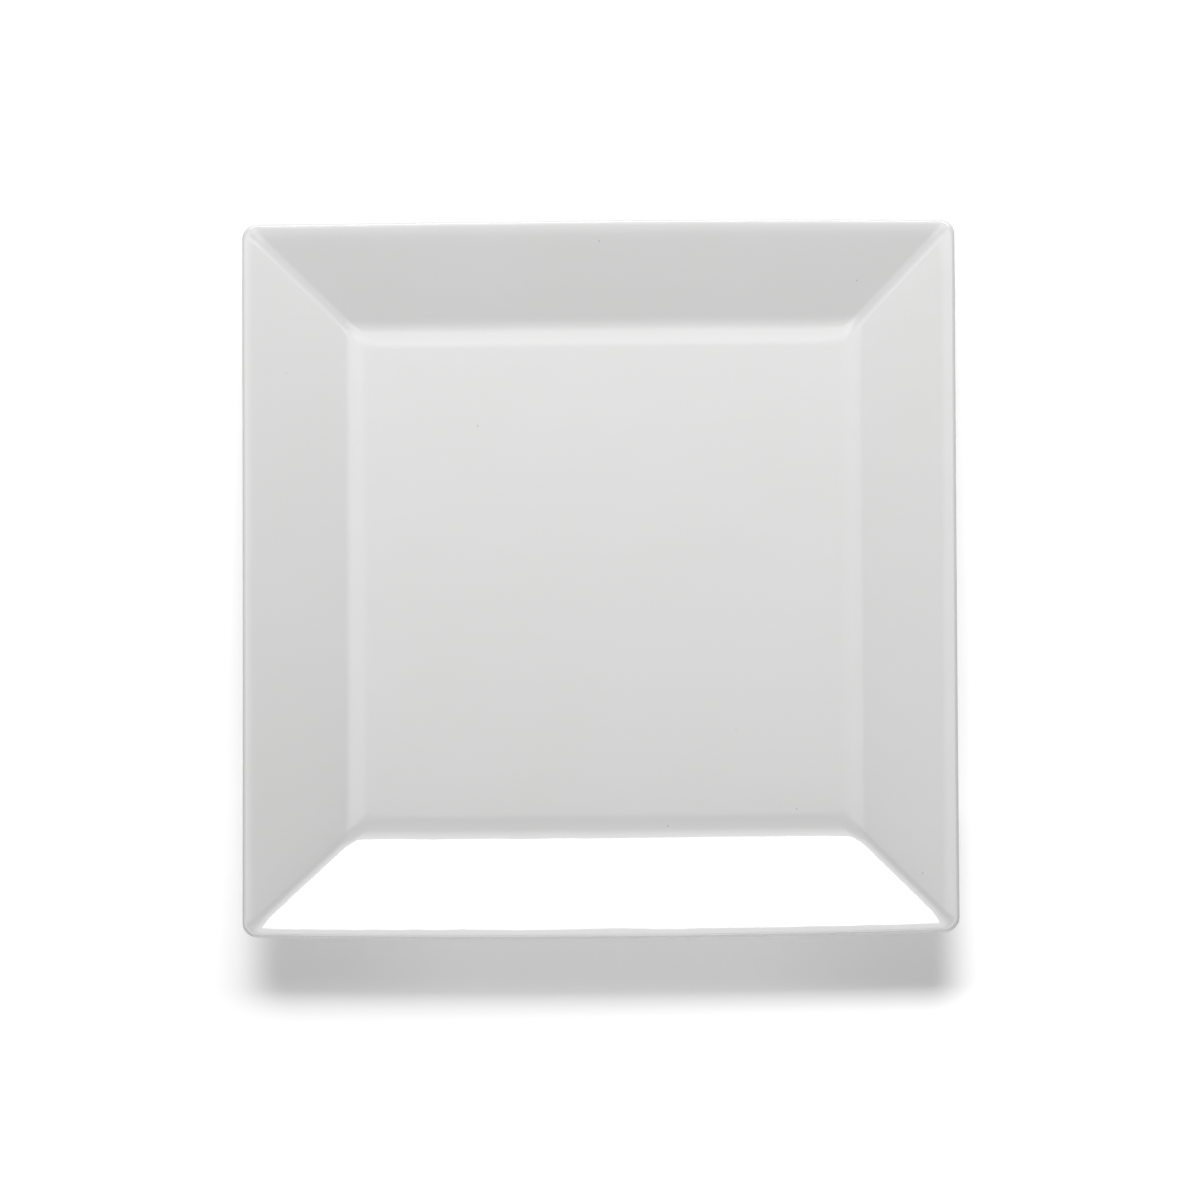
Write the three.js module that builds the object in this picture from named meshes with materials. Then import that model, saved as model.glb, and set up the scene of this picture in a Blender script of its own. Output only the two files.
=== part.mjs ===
// A square dessert plate of glazed porcelain, in millimetres, +Z up, standing on its foot ring at z = 0.
// Every level section is a rounded square, so one profile of half sides and heights drives all the pieces.
import * as THREE from "three";

// Driving dimensions of the finished plate, over its glaze
const RIM_SIDE = 180; // across the lip, outside to outside
const RIM_CORNER_RADIUS = 4.4; // of the outline's corners, seen from above
const WELL_CORNER_RADIUS = 1.6; // the same at the well's crease
const FOOT_CORNER_RADIUS = 4; // the same at the foot ring
const WALL_RUN = 27.5; // seen from above, from the well's crease to the outside of the lip
const WALL_RISE = 10.6; // from the well floor to the top of the lip
const WALL_THICKNESS = 4.2; // through the wall at its root
const CREASE_RADIUS = 23; // hollow where the well floor turns up into a wall
const LIP_INNER_RADIUS = 16; // gentle roll from the wall towards the top of the lip
const LIP_OUTER_RADIUS = 0.9; // tight roll over the top of the lip and round to the outside of the wall
const LIP_SLOPE = THREE.MathUtils.degToRad(12); // of the surface where those two rolls meet
const HEEL_RADIUS = 9; // where the underside turns up into the outside of a wall
const FLOOR_THICKNESS = 4;
const FOOT_INSET = 6.5; // from the well's crease in to the foot ring, so that plates stack
const FOOT_WIDTH = 4.4;
const FOOT_HEIGHT = 2.4; // from the table to the underside
const FOOT_ROOT_RADIUS = 0.8; // hollow between the foot ring and the underside
const FOOT_EDGE_RADIUS = 0.5; // of the bare standing face's two edges
const BARE_MARGIN = 0.2; // bare clay left between those edges and the glaze
const GLAZE_THICKNESS = 0.3;

// How finely the round stretches are faceted: half the number of facets in each arc
const CORNER_DIVISIONS = 3;
const PROFILE_DIVISIONS = 2;
const SAME_POINT = 1e-6;

// Finishes
const GLAZE_COLOUR = 0xf0f0ee;
const GLAZE_ROUGHNESS = 0.06;
const BODY_COLOUR = 0xe4e0d8;
const BODY_ROUGHNESS = 0.85;

// Half sides and heights that follow from the driving dimensions
const rimHalf = RIM_SIDE / 2;
const wellHalf = rimHalf - WALL_RUN;
const footOuterHalf = wellHalf - FOOT_INSET;
const footInnerHalf = footOuterHalf - FOOT_WIDTH;
const wellHeight = FOOT_HEIGHT + FLOOR_THICKNESS;
const rimHeight = wellHeight + WALL_RISE;
const glazeEdgeHeight = FOOT_EDGE_RADIUS + BARE_MARGIN;

// Angles of the surface's outward normal in the profile, from straight up round through the outside
const UP = 0;
const OUTWARDS = Math.PI / 2;
const DOWN = Math.PI;
const INWARDS = 1.5 * Math.PI;

// Slope of the line from a point that just touches a circle, over it (side 1) or under it (side -1).
function touchingSlope(point, centre, radius, side) {
  const reach = centre.clone().sub(point);
  return Math.atan2(reach.y, reach.x) + side * Math.asin(radius / reach.length());
}

// The lip's two rolls share a tangent where they meet, and the wall's faces touch them.
const lipOuterCentre = new THREE.Vector2(rimHalf - LIP_OUTER_RADIUS, rimHeight - LIP_OUTER_RADIUS);
const lipNormal = new THREE.Vector2(-Math.sin(LIP_SLOPE), Math.cos(LIP_SLOPE));
const lipInnerCentre = lipOuterCentre.clone().addScaledVector(lipNormal, LIP_OUTER_RADIUS - LIP_INNER_RADIUS);
const wellCrease = new THREE.Vector2(wellHalf, wellHeight);
const innerSlope = touchingSlope(wellCrease, lipInnerCentre, LIP_INNER_RADIUS, 1);
const acrossWall = new THREE.Vector2(Math.sin(innerSlope), -Math.cos(innerSlope));
const wallRoot = wellCrease.clone().addScaledVector(acrossWall, WALL_THICKNESS);
const outerSlope = touchingSlope(wallRoot, lipOuterCentre, LIP_OUTER_RADIUS, -1);
const heelHalf = wallRoot.x + (FOOT_HEIGHT - wallRoot.y) / Math.tan(outerSlope);

// Centres of the two bends that a level face and a sloping wall share
const creaseCentre = new THREE.Vector2(
  wellHalf - CREASE_RADIUS * Math.tan(innerSlope / 2),
  wellHeight + CREASE_RADIUS,
);
const heelCentre = new THREE.Vector2(
  heelHalf - HEEL_RADIUS * Math.tan(outerSlope / 2),
  FOOT_HEIGHT + HEEL_RADIUS,
);

// Half sides where the corner radius is given; between two of them it changes evenly
const cornerRadii = [
  [footOuterHalf, FOOT_CORNER_RADIUS],
  [wellHalf, WELL_CORNER_RADIUS],
  [rimHalf, RIM_CORNER_RADIUS],
];

// Adds a bulging stretch to a profile, a depth below the surface, between two angles of its normal.
function addRound(path, x, y, radius, from, to, depth) {
  path.absarc(x, y, radius - depth, Math.PI / 2 - from, Math.PI / 2 - to, to > from);
}

// The same for a hollow stretch, whose centre lies outside the plate.
function addHollow(path, x, y, radius, from, to, depth) {
  path.absarc(x, y, radius + depth, -Math.PI / 2 - from, -Math.PI / 2 - to, to > from);
}

// Profile from the middle of the well over the lip and down to the glaze's edge on the foot ring.
function faceProfile(depth) {
  const rootHalf = footOuterHalf + FOOT_ROOT_RADIUS;
  const rootHeight = FOOT_HEIGHT - FOOT_ROOT_RADIUS;
  const path = new THREE.Path();
  path.moveTo(0, wellHeight - depth);
  path.lineTo(creaseCentre.x, wellHeight - depth);
  addHollow(path, creaseCentre.x, creaseCentre.y, CREASE_RADIUS, UP, -innerSlope, depth);
  addRound(path, lipInnerCentre.x, lipInnerCentre.y, LIP_INNER_RADIUS, -innerSlope, -LIP_SLOPE, depth);
  addRound(path, lipOuterCentre.x, lipOuterCentre.y, LIP_OUTER_RADIUS, -LIP_SLOPE, UP, depth);
  addRound(path, lipOuterCentre.x, lipOuterCentre.y, LIP_OUTER_RADIUS, UP, OUTWARDS, depth);
  addRound(path, lipOuterCentre.x, lipOuterCentre.y, LIP_OUTER_RADIUS, OUTWARDS, DOWN - outerSlope, depth);
  addRound(path, heelCentre.x, heelCentre.y, HEEL_RADIUS, DOWN - outerSlope, DOWN, depth);
  addHollow(path, rootHalf, rootHeight, FOOT_ROOT_RADIUS, DOWN, OUTWARDS, depth);
  path.lineTo(footOuterHalf - depth, glazeEdgeHeight);
  return path.getPoints(PROFILE_DIVISIONS);
}

// Profile of the bare standing face and its edges, from the outside in.
function standingProfile() {
  const outerHalf = footOuterHalf - GLAZE_THICKNESS - FOOT_EDGE_RADIUS;
  const innerHalf = footInnerHalf + GLAZE_THICKNESS + FOOT_EDGE_RADIUS;
  const path = new THREE.Path();
  addRound(path, outerHalf, FOOT_EDGE_RADIUS, FOOT_EDGE_RADIUS, OUTWARDS, DOWN, 0);
  addRound(path, innerHalf, FOOT_EDGE_RADIUS, FOOT_EDGE_RADIUS, DOWN, INWARDS, 0);
  return path.getPoints(PROFILE_DIVISIONS);
}

// Profile from the glaze's edge inside the foot ring to the middle of the underside.
function baseProfile(depth) {
  const rootHalf = footInnerHalf - FOOT_ROOT_RADIUS;
  const rootHeight = FOOT_HEIGHT - FOOT_ROOT_RADIUS;
  const path = new THREE.Path();
  path.moveTo(footInnerHalf + depth, glazeEdgeHeight);
  path.lineTo(footInnerHalf + depth, rootHeight);
  addHollow(path, rootHalf, rootHeight, FOOT_ROOT_RADIUS, INWARDS, DOWN, depth);
  path.lineTo(0, FOOT_HEIGHT + depth);
  return path.getPoints(PROFILE_DIVISIONS);
}

// Corner radius of the level section with that half side.
function cornerRadius(half) {
  const level = THREE.MathUtils.clamp(half, footOuterHalf, rimHalf);
  const above = Math.max(cornerRadii.findIndex(([end]) => end >= level), 1);
  const [[low, lowRadius], [high, highRadius]] = cornerRadii.slice(above - 1, above + 1);
  return THREE.MathUtils.mapLinear(level, low, high, lowRadius, highRadius);
}

// The level section with that half side, anticlockwise from above.
function section(half, height) {
  const radius = cornerRadius(half);
  const path = new THREE.Path();
  for (let turn = 0; turn < 2 * Math.PI; turn += Math.PI / 2) {
    const centre = new THREE.Vector2(half - radius, half - radius).rotateAround(new THREE.Vector2(), turn);
    path.absarc(centre.x, centre.y, radius, turn, turn + Math.PI / 2);
  }
  return path.getPoints(CORNER_DIVISIONS).map(({ x, y }) => new THREE.Vector3(x, y, height));
}

// A closed solid from a profile that starts and ends on the axis, with a level section at each point between.
function sweep(profile) {
  const points = profile.filter((point, i) => i === 0 || point.distanceTo(profile[i - 1]) > SAME_POINT);
  const rings = points.slice(1, -1).map((point) => section(point.x, point.y));
  const vertices = [new THREE.Vector3(0, 0, points[0].y), ...rings.flat()];
  const lastPole = vertices.push(new THREE.Vector3(0, 0, points.at(-1).y)) - 1;
  const lastRing = rings.length - 1;
  const steps = rings[0].length;
  const at = (ring, step) => 1 + ring * steps + (step % steps);
  const index = [];
  for (let step = 0; step < steps; step++) {
    index.push(0, at(0, step), at(0, step + 1));
    for (let ring = 0; ring < lastRing; ring++) {
      index.push(at(ring, step), at(ring + 1, step), at(ring + 1, step + 1));
      index.push(at(ring, step), at(ring + 1, step + 1), at(ring, step + 1));
    }
    index.push(at(lastRing, step), lastPole, at(lastRing, step + 1));
  }
  const geometry = new THREE.BufferGeometry().setFromPoints(vertices).setIndex(index);
  geometry.computeVertexNormals();
  return geometry;
}

// One named piece of the plate with a material of its own.
function piece(name, profile, color, roughness) {
  const material = new THREE.MeshStandardMaterial({ color, roughness, metalness: 0 });
  const mesh = new THREE.Mesh(sweep(profile), material);
  mesh.name = name;
  return mesh;
}

// The fired body: well floor, walls, lip and foot ring in one, bare only where it stands
const bodyProfile = [
  ...faceProfile(GLAZE_THICKNESS),
  ...standingProfile(),
  ...baseProfile(GLAZE_THICKNESS),
];

// The glaze lies on the body in two coats, parted by the foot ring's bare standing face
const outerCoatProfile = [...faceProfile(0), ...faceProfile(GLAZE_THICKNESS).reverse()];
const baseCoatProfile = [...baseProfile(GLAZE_THICKNESS).reverse(), ...baseProfile(0)];

const plate = new THREE.Group();
plate.add(
  piece("porcelain_body", bodyProfile, BODY_COLOUR, BODY_ROUGHNESS),
  piece("outer_glaze_coat", outerCoatProfile, GLAZE_COLOUR, GLAZE_ROUGHNESS),
  piece("base_glaze_coat", baseCoatProfile, GLAZE_COLOUR, GLAZE_ROUGHNESS),
);

export default plate;
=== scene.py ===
"""A square dessert plate of white glazed porcelain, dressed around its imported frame, in metres, +Z up."""

import logging
import math
from dataclasses import dataclass, field
from enum import Enum
from typing import Any, Callable

import bmesh
import bpy
import numpy as np
from mathutils import Matrix, Vector


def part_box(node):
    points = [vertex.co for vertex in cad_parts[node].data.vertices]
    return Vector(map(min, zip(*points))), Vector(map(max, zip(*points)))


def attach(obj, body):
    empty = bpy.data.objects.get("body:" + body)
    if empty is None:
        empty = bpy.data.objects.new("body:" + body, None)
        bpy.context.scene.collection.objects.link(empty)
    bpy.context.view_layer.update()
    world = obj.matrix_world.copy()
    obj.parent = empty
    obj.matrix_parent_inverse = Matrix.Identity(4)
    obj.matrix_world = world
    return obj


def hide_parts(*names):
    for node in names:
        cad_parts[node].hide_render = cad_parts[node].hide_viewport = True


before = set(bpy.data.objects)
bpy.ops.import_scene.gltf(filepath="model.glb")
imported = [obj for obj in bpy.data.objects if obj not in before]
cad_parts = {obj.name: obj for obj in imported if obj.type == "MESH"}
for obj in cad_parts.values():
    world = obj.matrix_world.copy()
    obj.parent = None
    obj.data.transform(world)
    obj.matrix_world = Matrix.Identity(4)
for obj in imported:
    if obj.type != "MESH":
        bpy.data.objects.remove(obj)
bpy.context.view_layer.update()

SAME_POINT = 1e-7
Colour = tuple[float, float, float]
BLACK: Colour = (0.0, 0.0, 0.0)
WHITE: Colour = (1.0, 1.0, 1.0)
log = logging.getLogger("dessert_plate")


class Facing(float, Enum):
    """Which way the surface looks at a point of the section: its normal's angle from straight up."""

    UP = 0.0
    OUTWARDS = math.pi / 2
    DOWN = math.pi
    INWARDS = 1.5 * math.pi


class Node(str, Enum):
    """The frame's solids that the smooth pieces stand for."""

    BODY = "porcelain_body"
    OUTER_COAT = "outer_glaze_coat"
    BASE_COAT = "base_glaze_coat"


class Slot(str, Enum):
    """The record's finishes."""

    GLAZE = "white_glaze"
    BARE = "bare_porcelain"


class Number:
    """A value that varies over a surface, on which Python's operators add Math nodes."""

    def __init__(self, graph: "NodeGraph", socket: bpy.types.NodeSocket) -> None:
        """Keeps the socket and the graph that new nodes go into."""
        self.graph = graph
        self.socket = socket

    def _math(self, operation: str, *values: "Number | float") -> "Number":
        """Adds one Math node.

        Args:
            operation: The Math node's operation.
            values: Its inputs, in order.

        Returns:
            The node's result.
        """
        node = self.graph.node("ShaderNodeMath", {"operation": operation}, dict(enumerate(values)))
        return Number(self.graph, node.outputs[0])

    def __add__(self, other: "Number | float") -> "Number":
        """This plus another."""
        return self._math("ADD", self, other)

    def __radd__(self, other: float) -> "Number":
        """A plain number plus this."""
        return self._math("ADD", other, self)

    def __sub__(self, other: "Number | float") -> "Number":
        """This less another."""
        return self._math("SUBTRACT", self, other)

    def __rsub__(self, other: float) -> "Number":
        """A plain number less this."""
        return self._math("SUBTRACT", other, self)

    def __mul__(self, other: "Number | float") -> "Number":
        """This times another."""
        return self._math("MULTIPLY", self, other)

    def __rmul__(self, other: float) -> "Number":
        """A plain number times this."""
        return self._math("MULTIPLY", other, self)

    def __truediv__(self, other: "Number | float") -> "Number":
        """This over another."""
        return self._math("DIVIDE", self, other)

    def size(self) -> "Number":
        """This without its sign."""
        return self._math("ABSOLUTE", self)

    def at_least(self, other: "Number | float") -> "Number":
        """The greater of this and another."""
        return self._math("MAXIMUM", self, other)

    def ease(self, start: float, end: float) -> "Number":
        """A smooth rise from 0 to 1, or a fall where its end is the lesser value.

        Args:
            start: Value at which the result is still 0.
            end: Value at which it has reached 1.

        Returns:
            The eased value.
        """
        low, high, first, last = (start, end, 0.0, 1.0) if start < end else (end, start, 1.0, 0.0)
        node = self.graph.node(
            "ShaderNodeMapRange",
            {"interpolation_type": "SMOOTHSTEP"},
            {"Value": self, "From Min": low, "From Max": high, "To Min": first, "To Max": last},
        )
        return Number(self.graph, node.outputs["Result"])

    def between(self, low: float, high: float, fade: float) -> "Number":
        """1 between two values and 0 outside them.

        Args:
            low: The lesser value.
            high: The greater one.
            fade: Width of the soft step at each.

        Returns:
            The window's value.
        """
        rise = self.ease(low - fade / 2, low + fade / 2)
        return rise * self.ease(high + fade / 2, high - fade / 2)


class NodeGraph:
    """Adds nodes to one material's or world's tree."""

    def __init__(self, owner: bpy.types.Material | bpy.types.World) -> None:
        """Empties the owner's tree, ready for new nodes.

        Args:
            owner: The material or world whose tree it is.
        """
        owner.use_nodes = True
        self.tree = owner.node_tree
        self.tree.nodes.clear()

    def node(
        self,
        kind: str,
        settings: dict[str, Any] | None = None,
        sockets: dict[str | int, Any] | None = None,
    ) -> bpy.types.Node:
        """Adds one node.

        Args:
            kind: The node's type.
            settings: Its own properties, set first.
            sockets: The value or link of each input, by name or number.

        Returns:
            The new node.
        """
        node = self.tree.nodes.new(kind)
        for name, value in (settings or {}).items():
            setattr(node, name, value)
        for name, value in (sockets or {}).items():
            self.feed(node.inputs[name], value)
        return node

    def feed(self, socket: bpy.types.NodeSocket, value: Any) -> None:
        """Links a socket to a Number or another socket, or sets it to a plain value.

        Args:
            socket: The input to feed.
            value: What goes into it.
        """
        source = value.socket if isinstance(value, Number) else value
        if isinstance(source, bpy.types.NodeSocket):
            self.tree.links.new(source, socket)
        else:
            socket.default_value = source

    def number(self, node: bpy.types.Node, output: str) -> Number:
        """One output of a node as a Number."""
        return Number(self, node.outputs[output])

    def place(self) -> bpy.types.NodeSocket:
        """The point on the surface, in the piece's own coordinates."""
        return self.node("ShaderNodeTexCoord").outputs["Object"]

    def parts(self, vector: bpy.types.NodeSocket) -> tuple[Number, Number, Number]:
        """The three numbers of a vector."""
        node = self.node("ShaderNodeSeparateXYZ", sockets={"Vector": vector})
        return self.number(node, "X"), self.number(node, "Y"), self.number(node, "Z")

    def noise(self, grain: float, detail: float = 2.0) -> Number:
        """Soft noise from 0 to 1.

        Args:
            grain: Size of its patches, in metres.
            detail: How many finer layers lie on it.

        Returns:
            The noise's value.
        """
        node = self.node(
            "ShaderNodeTexNoise",
            sockets={"Vector": self.place(), "Scale": 1.0 / grain, "Detail": detail},
        )
        return self.number(node, "Fac")

    def tint(
        self,
        share: Number,
        plain: Colour | bpy.types.NodeSocket,
        full: Colour,
    ) -> bpy.types.NodeSocket:
        """A colour between two.

        Args:
            share: How much of the second colour there is.
            plain: The colour where the share is 0.
            full: The colour where it is 1.

        Returns:
            The mixed colour's socket.
        """
        mix = self.node("ShaderNodeMix", {"data_type": "RGBA"}, {"Factor": share, "B": (*full, 1.0)})
        self.feed(mix.inputs["A"], plain if isinstance(plain, bpy.types.NodeSocket) else (*plain, 1.0))
        return mix.outputs["Result"]

    def specks(self, spacing: float, radius: float, share: float) -> Number:
        """Scattered round specks, seen from above.

        Args:
            spacing: About how far apart the places for specks are.
            radius: Radius of a speck.
            share: Share of the places that have one.

        Returns:
            1 within a speck and 0 elsewhere.
        """
        node = self.node(
            "ShaderNodeTexVoronoi",
            {"voronoi_dimensions": "2D"},
            {"Vector": self.place(), "Scale": 1.0 / spacing},
        )
        within = (self.number(node, "Distance") * spacing).ease(radius, radius / 2)
        chosen = self.parts(node.outputs["Color"])[0].ease(share, share / 2)
        return within * chosen

    def facing_up(self) -> Number:
        """How far the surface faces up: 1 where it is level, 0 where it is upright."""
        return self.parts(self.node("ShaderNodeNewGeometry").outputs["Normal"])[2]

    def rays(self, *kinds: str) -> Number:
        """Tells the rays of some kinds from the others.

        Args:
            kinds: The Light Path node's names of those kinds.

        Returns:
            1 for those rays and 0 for the others.
        """
        node = self.node("ShaderNodeLightPath")
        first, *others = (self.number(node, f"Is {kind} Ray") for kind in kinds)
        for other in others:
            first = first.at_least(other)
        return first

    def seen_by_eye(self) -> Number:
        """1 for rays from the camera and for mirrored or refracted ones, and 0 for light that spreads."""
        return self.rays("Camera", "Glossy", "Transmission")


@dataclass(frozen=True)
class GlazeFinish:
    """Clear white glaze: mirror smooth, faintly wavy, with a few tiny specks."""

    colour: Colour = (0.69, 0.69, 0.69)
    thin_colour: Colour = (0.67, 0.67, 0.665)
    speck_colour: Colour = (0.5, 0.49, 0.47)
    roughness: float = 0.04
    ior: float = 1.52
    tone_patch: float = 0.03
    wave_length: float = 0.018
    wave_height: float = 0.00012
    wave_facing: float = 0.5  # the wave fades out where the surface faces up less than this
    wave_detail: float = 1.0
    speck_spacing: float = 0.016
    speck_radius: float = 0.00028
    speck_share: float = 0.1

    def material(self) -> bpy.types.Material:
        """Makes the glaze's material.

        Returns:
            The material.
        """
        made = bpy.data.materials.new("white_glaze")
        graph = NodeGraph(made)
        upper = graph.facing_up().ease(0.0, self.wave_facing)
        waves = graph.noise(self.wave_length, self.wave_detail) * self.wave_height * upper
        bump = graph.node("ShaderNodeBump", sockets={"Distance": 1.0, "Height": waves})
        clear = graph.tint(graph.noise(self.tone_patch), self.thin_colour, self.colour)
        specks = graph.specks(self.speck_spacing, self.speck_radius, self.speck_share)
        shader = graph.node(
            "ShaderNodeBsdfPrincipled",
            sockets={
                "Base Color": graph.tint(specks, clear, self.speck_colour),
                "Roughness": self.roughness,
                "IOR": self.ior,
                "Normal": bump.outputs["Normal"],
            },
        )
        graph.node("ShaderNodeOutputMaterial", sockets={"Surface": shader.outputs["BSDF"]})
        return made


@dataclass(frozen=True)
class BareFinish:
    """Fired porcelain without glaze: matt, faintly warm, with a fine grain."""

    colour: Colour = (0.76, 0.74, 0.70)
    rubbed_colour: Colour = (0.66, 0.64, 0.60)
    roughness: float = 0.85
    rubbed_patch: float = 0.012
    grain: float = 0.0004
    grain_height: float = 0.00002
    grain_detail: float = 3.0

    def material(self) -> bpy.types.Material:
        """Makes the bare porcelain's material.

        Returns:
            The material.
        """
        made = bpy.data.materials.new("bare_porcelain")
        graph = NodeGraph(made)
        grain = graph.noise(self.grain, self.grain_detail)
        bump = graph.node("ShaderNodeBump", sockets={"Distance": 1.0, "Height": grain * self.grain_height})
        shader = graph.node(
            "ShaderNodeBsdfPrincipled",
            sockets={
                "Base Color": graph.tint(graph.noise(self.rubbed_patch), self.rubbed_colour, self.colour),
                "Roughness": self.roughness,
                "Normal": bump.outputs["Normal"],
            },
        )
        graph.node("ShaderNodeOutputMaterial", sockets={"Surface": shader.outputs["BSDF"]})
        return made


class SectionPath:
    """A line across the plate in half sides and heights, drawn at a depth under the finished surface."""

    def __init__(self, depth: float = 0.0) -> None:
        """Starts an empty line at that depth."""
        self.depth = depth
        self.points: list[Vector] = []

    def to(self, half: float, height: float) -> None:
        """Adds one point."""
        self.points.append(Vector((half, height)))

    def _arc(self, centre: Vector, radius: float, start: float, end: float, steps: int) -> None:
        """Adds an arc; a negative radius makes a hollow one.

        Args:
            centre: Half side and height of its centre.
            radius: Its radius, below 0 where the centre lies outside the plate.
            start: Angle of the surface's normal where it starts.
            end: The same where it ends.
            steps: Number of straight steps it is made of.
        """
        for step in range(steps + 1):
            angle = start + (end - start) * step / steps
            self.points.append(centre + radius * Vector((math.sin(angle), math.cos(angle))))

    def bulge(self, centre: Vector, radius: float, start: float, end: float, steps: int) -> None:
        """Adds a stretch that bulges, between two angles of its normal."""
        self._arc(centre, radius - self.depth, start, end, steps)

    def hollow(self, centre: Vector, radius: float, start: float, end: float, steps: int) -> None:
        """Adds a hollow stretch, between two angles of its normal."""
        self._arc(centre, -radius - self.depth, start, end, steps)


def touching_slope(point: Vector, centre: Vector, radius: float, side: int) -> float:
    """Slope of the line from a point that just touches a circle.

    Args:
        point: Where the line starts.
        centre: The circle's centre.
        radius: The circle's radius.
        side: 1 where the line passes over the circle, -1 where it passes under.

    Returns:
        The slope as an angle.
    """
    reach = centre - point
    return math.atan2(reach.y, reach.x) + side * math.asin(radius / reach.length)


@dataclass(frozen=True)
class PlateForm:
    """Sizes of the finished plate over its glaze, and the section that follows from them."""

    rim_half: float  # outside of the lip
    rim_height: float  # top of the lip
    foot_inner_half: float
    foot_height: float  # from the table to the underside
    glaze_edge_height: float  # where both coats end on the foot ring
    glaze_thickness: float
    rim_corner_radius: float = 0.0038  # of the outline's corners, seen from above
    lip_corner_radius: float = 0.0024  # the same at the lip's inner edge
    well_corner_radius: float = 0.0026  # the same at the well's crease
    foot_corner_radius: float = 0.004  # the same at the foot ring
    wall_run: float = 0.0275  # seen from above, from the well's crease to the outside of the lip
    lip_width: float = 0.0029  # seen from above
    wall_thickness: float = 0.0042  # at its root
    floor_thickness: float = 0.004
    crease_radius: float = 0.023
    lip_inner_radius: float = 0.034
    lip_outer_radius: float = 0.0009
    lip_slope: float = math.radians(15)  # where the lip's gentle roll meets its tight one
    heel_radius: float = 0.009
    foot_width: float = 0.0044
    foot_root_radius: float = 0.0008
    foot_edge_radius: float = 0.0005
    middle_half: float = 0.002  # of the small square that closes a section at the axis
    crease_steps: int = 14
    lip_inner_steps: int = 8
    lip_top_steps: int = 3
    lip_side_steps: int = 14
    lip_under_steps: int = 10
    heel_steps: int = 8
    foot_root_steps: int = 6
    foot_edge_steps: int = 5
    glaze_edge_steps: int = 6

    @classmethod
    def from_frame(cls) -> "PlateForm":
        """Reads the outer sizes from the frame's solids.

        Returns:
            The plate's form.
        """
        coat_low, coat_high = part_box(Node.OUTER_COAT)
        body_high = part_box(Node.BODY)[1]
        base_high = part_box(Node.BASE_COAT)[1]
        thickness = coat_high.x - body_high.x
        return cls(
            rim_half=coat_high.x,
            rim_height=coat_high.z,
            foot_inner_half=base_high.x - thickness,
            foot_height=base_high.z - thickness,
            glaze_edge_height=coat_low.z,
            glaze_thickness=thickness,
        )

    @property
    def well_half(self) -> float:
        """Half side of the well at its crease."""
        return self.rim_half - self.wall_run

    @property
    def well_height(self) -> float:
        """Height of the well's floor."""
        return self.foot_height + self.floor_thickness

    @property
    def foot_outer_half(self) -> float:
        """Half side of the foot ring, outside."""
        return self.foot_inner_half + self.foot_width

    @property
    def foot_root_height(self) -> float:
        """Height of the centre of the hollow between the foot ring and the underside."""
        return self.foot_height - self.foot_root_radius

    @property
    def lip_outer_centre(self) -> Vector:
        """Centre of the tight roll over the top of the lip and round to the outside of the wall."""
        return Vector((self.rim_half - self.lip_outer_radius, self.rim_height - self.lip_outer_radius))

    @property
    def lip_inner_centre(self) -> Vector:
        """Centre of the gentle roll from the wall to the lip, where the tight one takes over."""
        normal = Vector((-math.sin(self.lip_slope), math.cos(self.lip_slope)))
        return self.lip_outer_centre + (self.lip_outer_radius - self.lip_inner_radius) * normal

    @property
    def inner_slope(self) -> float:
        """Slope of the wall's inside."""
        crease = Vector((self.well_half, self.well_height))
        return touching_slope(crease, self.lip_inner_centre, self.lip_inner_radius, 1)

    @property
    def wall_root(self) -> Vector:
        """Point on the wall's outside that lies across from the well's crease."""
        across = Vector((math.sin(self.inner_slope), -math.cos(self.inner_slope)))
        return Vector((self.well_half, self.well_height)) + self.wall_thickness * across

    @property
    def outer_slope(self) -> float:
        """Slope of the wall's outside."""
        return touching_slope(self.wall_root, self.lip_outer_centre, self.lip_outer_radius, -1)

    @property
    def crease_centre(self) -> Vector:
        """Centre of the hollow where the well's floor turns up into a wall."""
        half = self.well_half - self.crease_radius * math.tan(self.inner_slope / 2)
        return Vector((half, self.well_height + self.crease_radius))

    @property
    def heel_centre(self) -> Vector:
        """Centre of the bend where the underside turns up into the outside of a wall.

        Returns:
            Its half side and height.
        """
        heel_half = self.wall_root.x + (self.foot_height - self.wall_root.y) / math.tan(self.outer_slope)
        half = heel_half - self.heel_radius * math.tan(self.outer_slope / 2)
        return Vector((half, self.foot_height + self.heel_radius))

    def corner_radius(self, half: float) -> float:
        """Corner radius of a level section, which changes evenly between the half sides that give one.

        Args:
            half: The section's half side.

        Returns:
            The radius.
        """
        given = (
            (0.0, 0.0),
            (self.foot_inner_half, self.foot_corner_radius),
            (self.foot_outer_half, self.foot_corner_radius),
            (self.well_half, self.well_corner_radius),
            (self.rim_half - self.lip_width, self.lip_corner_radius),
            (self.rim_half, self.rim_corner_radius),
        )
        return float(np.interp(half, *zip(*given)))

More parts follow.
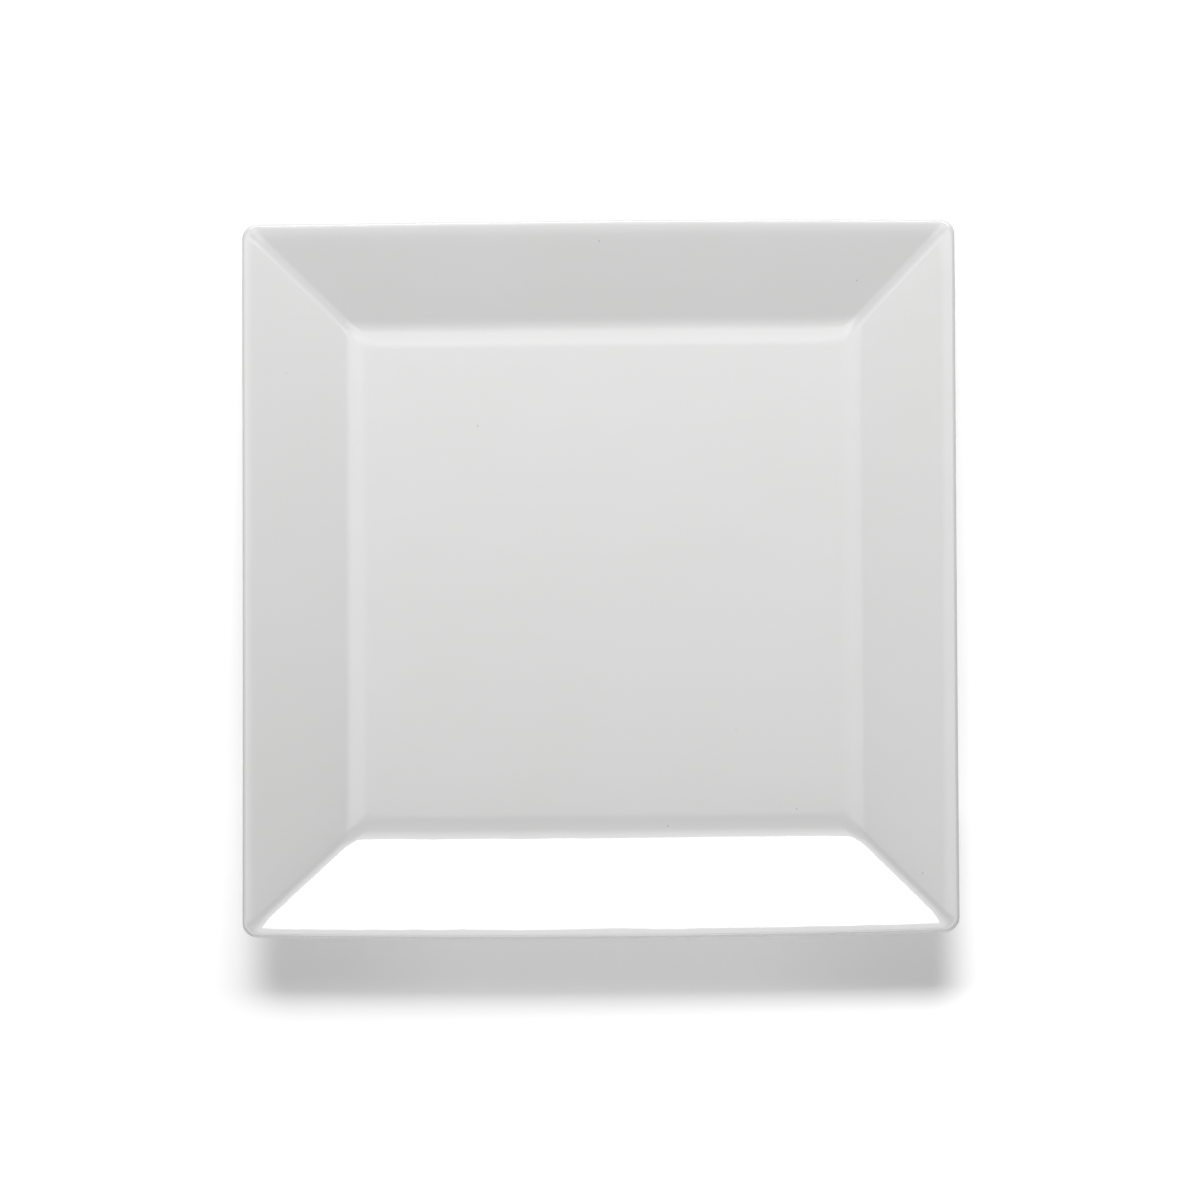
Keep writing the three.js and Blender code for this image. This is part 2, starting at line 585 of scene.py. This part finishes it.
    def face(self, depth: float) -> list[Vector]:
        """Section from the middle of the well over the lip to the glaze's edge on the foot ring.

        Args:
            depth: How far under the finished surface it lies.

        Returns:
            Its points.
        """
        inside, lip, outside = -self.inner_slope, -self.lip_slope, Facing.DOWN - self.outer_slope
        root = Vector((self.foot_outer_half + self.foot_root_radius, self.foot_root_height))
        roll, roll_radius = self.lip_outer_centre, self.lip_outer_radius
        path = SectionPath(depth)
        path.to(self.middle_half, self.well_height - depth)
        path.hollow(self.crease_centre, self.crease_radius, Facing.UP, inside, self.crease_steps)
        path.bulge(self.lip_inner_centre, self.lip_inner_radius, inside, lip, self.lip_inner_steps)
        path.bulge(roll, roll_radius, lip, Facing.UP, self.lip_top_steps)
        path.bulge(roll, roll_radius, Facing.UP, Facing.OUTWARDS, self.lip_side_steps)
        path.bulge(roll, roll_radius, Facing.OUTWARDS, outside, self.lip_under_steps)
        path.bulge(self.heel_centre, self.heel_radius, outside, Facing.DOWN, self.heel_steps)
        path.hollow(root, self.foot_root_radius, Facing.DOWN, Facing.OUTWARDS, self.foot_root_steps)
        path.to(self.foot_outer_half - depth, self.glaze_edge_height)
        return path.points

    def standing(self) -> list[Vector]:
        """Section of the bare standing face and its two edges, from the outside in.

        Returns:
            Its points.
        """
        inset = self.glaze_thickness + self.foot_edge_radius
        outer = Vector((self.foot_outer_half - inset, self.foot_edge_radius))
        inner = Vector((self.foot_inner_half + inset, self.foot_edge_radius))
        path = SectionPath()
        path.bulge(outer, self.foot_edge_radius, Facing.OUTWARDS, Facing.DOWN, self.foot_edge_steps)
        path.bulge(inner, self.foot_edge_radius, Facing.DOWN, Facing.INWARDS, self.foot_edge_steps)
        return path.points

    def base(self, depth: float) -> list[Vector]:
        """Section from the glaze's edge inside the foot ring to the middle of the underside.

        Args:
            depth: How far under the finished surface it lies.

        Returns:
            Its points.
        """
        root = Vector((self.foot_inner_half - self.foot_root_radius, self.foot_root_height))
        path = SectionPath(depth)
        path.to(self.foot_inner_half + depth, self.glaze_edge_height)
        path.hollow(root, self.foot_root_radius, Facing.INWARDS, Facing.DOWN, self.foot_root_steps)
        path.to(self.middle_half, self.foot_height + depth)
        return path.points

    def glaze_edge(self, half: float, start: Facing, end: Facing) -> list[Vector]:
        """Section of a coat's rounded edge on the foot ring, as thick as the coat.

        Args:
            half: Half side at the middle of the coat.
            start: Way that the edge faces where it starts.
            end: The same where it ends.

        Returns:
            Its points.
        """
        middle = Vector((half, self.glaze_edge_height))
        path = SectionPath()
        path.bulge(middle, self.glaze_thickness / 2, start, end, self.glaze_edge_steps)
        return path.points


@dataclass(frozen=True)
class KilnWarp:
    """How far the fired ware strays from true, seen from above, all of it inwards."""

    form: PlateForm
    side_bow: float = 0.00011  # of the left and right edges, at their middles
    back_left_bow: float = 0.0002  # of the back edge, at its left end
    back_right_bow: float = 0.00093  # the same at its right end
    front_bow: float = 0.00117  # of the front edge, at both ends
    back_narrowing: float = 0.00044  # of the left and right edges, at the back

    def moved(self, place: Vector) -> Vector:
        """Where a point of the true shape lies on the fired plate.

        Args:
            place: A point of the true shape.

        Returns:
            The moved point.
        """
        across, along = place.x / self.form.rim_half, place.y / self.form.rim_half
        back_bow = self.back_left_bow if across < 0.0 else self.back_right_bow
        end_bow = back_bow if along > 0.0 else self.front_bow
        bowed = self.side_bow * across**3 * (1.0 - along**2)
        inwards = bowed + self.back_narrowing * across * (1.0 + along) / 2
        return Vector((place.x - inwards, place.y - end_bow * along**3 * across**2, place.z))


@dataclass(frozen=True)
class LevelSection:
    """A rounded square: the plate cut level at one height."""

    half: float
    height: float
    corner_radius: float

    def carried(self, reach: float, onto: "LevelSection") -> float:
        """Where a point of this section lies on another, along either side.

        Args:
            reach: The point's distance from the axis along that side.
            onto: The other section.

        Returns:
            The distance on the other section, with the sign of the first.
        """
        inset = self.half - abs(reach)
        if inset < self.corner_radius:
            return math.copysign(onto.half - inset * onto.corner_radius / self.corner_radius, reach)
        return reach * (onto.half - onto.corner_radius) / (self.half - self.corner_radius)


@dataclass
class SweptPiece:
    """One piece of the plate, whose level sections are all rounded squares."""

    form: PlateForm
    finish: GlazeFinish | BareFinish
    name: str
    node: Node
    slot: Slot
    corner_steps: int = 10
    side_cuts: int = 20
    longest_step: float = 0.004
    sharp_angle: float = math.radians(40)

    def section(self) -> list[Vector]:
        """Section that starts and ends near the plate's axis, given by each kind of piece."""
        raise NotImplementedError

    def _levels(self) -> list[LevelSection]:
        """Level sections at the section's points, none doubled, and more along its long straight parts.

        Returns:
            The level sections in order.
        """
        points = self.section()
        spaced = points[:1]
        for point in points[1:]:
            start = spaced[-1]
            length = (point - start).length
            if length < SAME_POINT:
                continue
            steps = math.ceil(length / self.longest_step)
            spaced += [start.lerp(point, step / steps) for step in range(1, steps + 1)]
        return [LevelSection(point.x, point.y, self.form.corner_radius(point.x)) for point in spaced]

    def _outline(self, level: LevelSection) -> bmesh.types.BMesh:
        """Starts a mesh with the filled outline of a level section.

        Args:
            level: The level section.

        Returns:
            The mesh.
        """
        made = bmesh.new()
        bmesh.ops.create_grid(made, x_segments=1, y_segments=1, size=level.half)
        bmesh.ops.bevel(
            made,
            geom=made.verts[:],
            offset=level.corner_radius,
            offset_type="OFFSET",
            affect="VERTICES",
            segments=self.corner_steps,
            profile=0.5,
            material=-1,
        )
        sides = [edge for edge in made.edges if edge.calc_length() > level.half]
        bmesh.ops.subdivide_edges(made, edges=sides, cuts=self.side_cuts)
        bmesh.ops.translate(made, verts=made.verts[:], vec=(0.0, 0.0, level.height))
        return made

    def build(self, warp: Callable[[Vector], Vector]) -> bpy.types.Object:
        """Sweeps the outline along the section into a closed mesh.

        Args:
            warp: Moves a point of the true shape to its place on the fired plate.

        Returns:
            The piece's object.
        """
        levels = self._levels()
        made = self._outline(levels[0])
        ring = made.edges[:]
        for last, level in zip(levels, levels[1:]):
            grown = bmesh.ops.extrude_edge_only(made, edges=ring)["geom"]
            ring = [part for part in grown if isinstance(part, bmesh.types.BMEdge)]
            corners = [part for part in grown if isinstance(part, bmesh.types.BMVert)]
            for corner in corners:
                across, along = (last.carried(reach, level) for reach in corner.co.xy)
                corner.co = across, along, level.height
        bmesh.ops.contextual_create(made, geom=ring)
        for corner in made.verts:
            corner.co = warp(corner.co)
        bmesh.ops.recalc_face_normals(made, faces=made.faces[:])
        mesh = bpy.data.meshes.new(self.name)
        made.to_mesh(mesh)
        made.free()
        mesh.polygons.foreach_set("use_smooth", [True] * len(mesh.polygons))
        mesh.set_sharp_from_angle(angle=self.sharp_angle)
        piece = bpy.data.objects.new(self.name, mesh)
        bpy.context.scene.collection.objects.link(piece)
        return piece

    def dress(self, piece: bpy.types.Object) -> None:
        """Gives the piece its finish and ties it to the frame.

        Args:
            piece: The piece's object.
        """
        piece.data.materials.append(self.finish.material())
        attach(piece, "root")
        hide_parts(self.node.value)


class PorcelainBody(SweptPiece):
    """The fired body, bare only where it stands."""

    def section(self) -> list[Vector]:
        """Section under the glaze, with the bare standing face between its two stretches."""
        depth = self.form.glaze_thickness
        return [*self.form.face(depth), *self.form.standing(), *self.form.base(depth)]


class OuterCoat(SweptPiece):
    """The glaze on the face, the lip and the outside, down to the foot ring."""

    def section(self) -> list[Vector]:
        """Section over the glaze, round its edge and back under it.

        Returns:
            Its points.
        """
        depth = self.form.glaze_thickness
        edge = self.form.glaze_edge(self.form.foot_outer_half - depth / 2, Facing.OUTWARDS, Facing.INWARDS)
        return [*self.form.face(0.0), *edge, *reversed(self.form.face(depth))]


class BaseCoat(SweptPiece):
    """The glaze on the underside, within the foot ring."""

    def section(self) -> list[Vector]:
        """Section under the glaze, round its edge and back over it.

        Returns:
            Its points.
        """
        depth = self.form.glaze_thickness
        edge = self.form.glaze_edge(self.form.foot_inner_half + depth / 2, Facing.OUTWARDS, Facing.INWARDS)
        return [*reversed(self.form.base(depth)), *edge, *self.form.base(0.0)]


@dataclass(frozen=True)
class Softbox:
    """A flat soft lamp that looks at the plate."""

    name: str
    bearing: float
    elevation: float
    distance: float
    width: float
    height: float
    radiance: float

    def hang(self, target: Vector) -> None:
        """Makes the lamp and turns it to the plate.

        Args:
            target: The point that it looks at.
        """
        level = math.cos(self.elevation)
        right, back = math.sin(self.bearing) * level, math.cos(self.bearing) * level
        away = Vector((right, back, math.sin(self.elevation)))
        light = bpy.data.lights.new(self.name, "AREA")
        light.shape = "RECTANGLE"
        light.size, light.size_y = self.width, self.height
        light.energy = self.radiance * math.pi * self.width * self.height
        lamp = bpy.data.objects.new(self.name, light)
        lamp.location = target + self.distance * away
        lamp.rotation_euler = (-away).to_track_quat("-Z", "Y").to_euler()
        bpy.context.scene.collection.objects.link(lamp)


@dataclass(frozen=True)
class CeilingPatch:
    """A painted reflection: a soft-edged patch of the ceiling that only mirrored rays see, so it shows in
    the glaze lighter or darker than the white room and lights nothing.

    Its sides are slopes from straight up: right over up, or back over up.
    """

    left: float
    right: float
    front: float
    back: float
    fade: float
    glow: float

    def shine(self, to_right: Number, to_back: Number) -> Number:
        """How much the patch adds along a direction.

        Args:
            to_right: The direction's slope to the right.
            to_back: Its slope to the back.

        Returns:
            The added strength.
        """
        wide = to_right.between(self.left, self.right, self.fade)
        return wide * to_back.between(self.front, self.back, self.fade) * self.glow


@dataclass(frozen=True)
class Studio:
    """Pale floor, soft light and a camera that looks down on the plate."""

    floor_side: float = 8.0
    floor_colour: Colour = (0.96, 0.96, 0.96)
    floor_white: float = 0.37  # lift to white beside the plate
    floor_white_far: float = 0.45  # the same away from it
    near_reach: float = 0.11  # how far from the middle the first lift goes
    far_reach: float = 0.16  # where the second has taken over
    painted_side_lean: float = 0.6  # gain of the first lift to the right, per metre: painted shade beside the plate's left edge and painted light beside its right
    painted_shadow_depth: float = 0.155  # painted shadow: how much less lift the floor gets where the plate's shadow falls, over the lamps' own shadow
    painted_shadow_end_depth: float = 0.065  # painted shadow: how much less still at its two ends
    shadow_ends_from: float = 0.03  # how far from the middle the ends begin
    shadow_ends_to: float = 0.078  # where they are at their full depth
    # edges of the painted shadow's window on the floor
    shadow_left: float = -0.089
    shadow_right: float = 0.087
    shadow_front: float = -0.1039
    shadow_back: float = -0.06
    shadow_fade: float = 0.011
    shadow_turn: float = 0.0125  # how far its front edge turns, per metre to the right
    ambient: float = 0.25  # the white room's strength as light
    lowest_rise: float = 0.05  # keeps the ceiling's slopes finite down to the horizon
    target: Vector = field(default_factory=lambda: Vector((0.0, 0.0, 0.012)))
    camera_distance: float = 6.0
    camera_to_right: float = math.radians(6.0)  # lean of the view from straight down
    camera_to_front: float = math.radians(3.0)
    camera_roll: float = math.radians(-0.23)
    camera_lens: float = 720.25
    plate_above_middle: float = 0.005  # where the plate lies in the frame
    plate_beside_middle: float = 0.00022
    lamps: tuple[Softbox, ...] = (
        Softbox(
            name="back_softbox",
            bearing=0.0,
            elevation=math.radians(49.5),
            distance=0.62,
            width=0.64,
            height=0.217,
            radiance=8.7,
        ),
        Softbox(
            name="front_reflector",
            bearing=math.pi,
            elevation=math.radians(10),
            distance=0.8,
            width=0.9,
            height=0.26,
            radiance=3.2,
        ),
    )
    # painted reflections in the glaze, each seen only by mirrored rays
    patches: tuple[CeilingPatch, ...] = (
        CeilingPatch(-0.4, 0.08, -0.55, 0.12, 0.2, 1.3),  # overhead, in the well
        CeilingPatch(0.08, 0.48, -0.2, 0.12, 0.2, 2.1),  # in the left crease
        CeilingPatch(-0.97, -0.4, -0.26, 0.12, 0.3, 2.1),  # in the right crease
        CeilingPatch(-0.4, 0.2, -0.42, -0.05, 0.15, 2.1),  # in the back crease
        CeilingPatch(-0.5, 0.3, -1.3, -0.66, 0.15, -0.6),  # in the back wall
        CeilingPatch(-1.5, 1.0, 0.11, 0.48, 0.12, -0.45),  # in the front crease
        CeilingPatch(0.33, 0.65, 0.15, 0.45, 0.25, -0.68),  # in the front left mitre
        CeilingPatch(-1.0, -0.6, 0.15, 0.48, 0.3, -0.68),  # in the front right mitre
        CeilingPatch(0.4, 0.68, -0.3, -0.05, 0.2, 0.8),  # in the back left mitre
        CeilingPatch(-2.0, -1.05, -0.5, 0.3, 0.2, 0.6),  # in the right wall
        CeilingPatch(-0.95, 0.85, 0.54, 0.95, 0.3, 2.6),  # round the back softbox
    )

    def lay_floor(self) -> None:
        """Makes the floor, which shows white and keeps the plate's shadow from the lamps, deepened by a
        painted shadow.
        """
        made = bmesh.new()
        bmesh.ops.create_grid(made, x_segments=1, y_segments=1, size=self.floor_side / 2)
        mesh = bpy.data.meshes.new("floor")
        made.to_mesh(mesh)
        made.free()
        floor = bpy.data.objects.new("floor", mesh)
        bpy.context.scene.collection.objects.link(floor)
        mesh.materials.append(self._floor_material())

    def _floor_material(self) -> bpy.types.Material:
        """Matt pale floor that is lifted to white for the eye alone, with less lift in a painted shadow in
        front of the plate, painted shade to its left and painted light to its right.

        Returns:
            The material.
        """
        made = bpy.data.materials.new("floor")
        graph = NodeGraph(made)
        across, along, _ = graph.parts(graph.place())
        far = across.size().at_least(along.size()).ease(self.near_reach, self.far_reach)
        # painted shadow: the lift is held back in a window in front of the plate, deeper at its two ends
        turned = along + self.shadow_turn * across
        painted_shadow_mask = turned.between(self.shadow_front, self.shadow_back, self.shadow_fade)
        painted_shadow_mask *= across.between(self.shadow_left, self.shadow_right, self.shadow_fade)
        ends = across.size().ease(self.shadow_ends_from, self.shadow_ends_to)
        # painted shade to the left of the plate and painted light to its right
        near_lift = self.floor_white + self.painted_side_lean * across
        open_lift = near_lift + far * (self.floor_white_far - near_lift)
        painted_shadow_lift = self.floor_white - self.painted_shadow_depth - self.painted_shadow_end_depth * ends
        lift = open_lift + painted_shadow_mask * (painted_shadow_lift - open_lift)
        shader = graph.node(
            "ShaderNodeBsdfPrincipled",
            sockets={
                "Base Color": (*self.floor_colour, 1.0),
                "Roughness": 1.0,
                "Specular IOR Level": 0.0,
                "Emission Color": graph.tint(lift * graph.seen_by_eye(), BLACK, WHITE),
                "Emission Strength": 1.0,
            },
        )
        graph.node("ShaderNodeOutputMaterial", sockets={"Surface": shader.outputs["BSDF"]})
        made.cycles.emission_sampling = "NONE"
        return made

    def light(self) -> None:
        """Makes the world, white to the eye and softer as light, with painted reflections for mirrored
        rays, and hangs the lamps.
        """
        world = bpy.data.worlds.new("studio")
        graph = NodeGraph(world)
        to_right, to_back, up = graph.parts(graph.node("ShaderNodeTexCoord").outputs["Generated"])
        rise = up.at_least(self.lowest_rise)
        slopes = to_right / rise, to_back / rise
        # painted reflections: the patches are added for mirrored rays alone
        mirrored = sum((patch.shine(*slopes) for patch in self.patches), start=0.0)
        plain = self.ambient + graph.seen_by_eye() * (1.0 - self.ambient)
        strength = plain + graph.rays("Glossy") * mirrored
        sky = graph.node("ShaderNodeBackground", sockets={"Color": (*WHITE, 1.0), "Strength": strength})
        graph.node("ShaderNodeOutputWorld", sockets={"Surface": sky.outputs["Background"]})
        bpy.context.scene.world = world
        for lamp in self.lamps:
            lamp.hang(self.target)

    def place_camera(self) -> None:
        """Makes the camera, high over the plate and a little to its right and front."""
        back = Vector((math.tan(self.camera_to_right), -math.tan(self.camera_to_front), 1.0)).normalized()
        right = Vector((0.0, 1.0, 0.0)).cross(back).normalized()
        level = Matrix((right, back.cross(right), back)).transposed()
        turn = level @ Matrix.Rotation(self.camera_roll, 3, "Z")
        data = bpy.data.cameras.new("camera")
        data.lens = self.camera_lens
        data.clip_end = 2 * self.camera_distance
        camera = bpy.data.objects.new("camera", data)
        camera.rotation_euler = turn.to_euler()
        shift = self.plate_beside_middle * turn.col[0] + self.plate_above_middle * turn.col[1]
        camera.location = self.target - shift + self.camera_distance * back
        bpy.context.scene.collection.objects.link(camera)
        bpy.context.scene.camera = camera


def main() -> None:
    """Builds the studio and the plate."""
    logging.basicConfig(level=logging.INFO, format="%(name)s: %(message)s")
    bpy.context.scene.view_settings.view_transform = "Standard"
    studio = Studio()
    studio.place_camera()
    studio.lay_floor()
    studio.light()
    form = PlateForm.from_frame()
    warp = KilnWarp(form)
    glaze, bare = GlazeFinish(), BareFinish()
    for part in (
        PorcelainBody(form, bare, "fired_body", Node.BODY, Slot.BARE),
        OuterCoat(form, glaze, "face_glaze", Node.OUTER_COAT, Slot.GLAZE),
        BaseCoat(form, glaze, "underside_glaze", Node.BASE_COAT, Slot.GLAZE),
    ):
        piece = part.build(warp.moved)
        part.dress(piece)
        log.info("%s: %d faces, stands for %s", piece.name, len(piece.data.polygons), part.node.value)


if __name__ == "__main__":
    main()
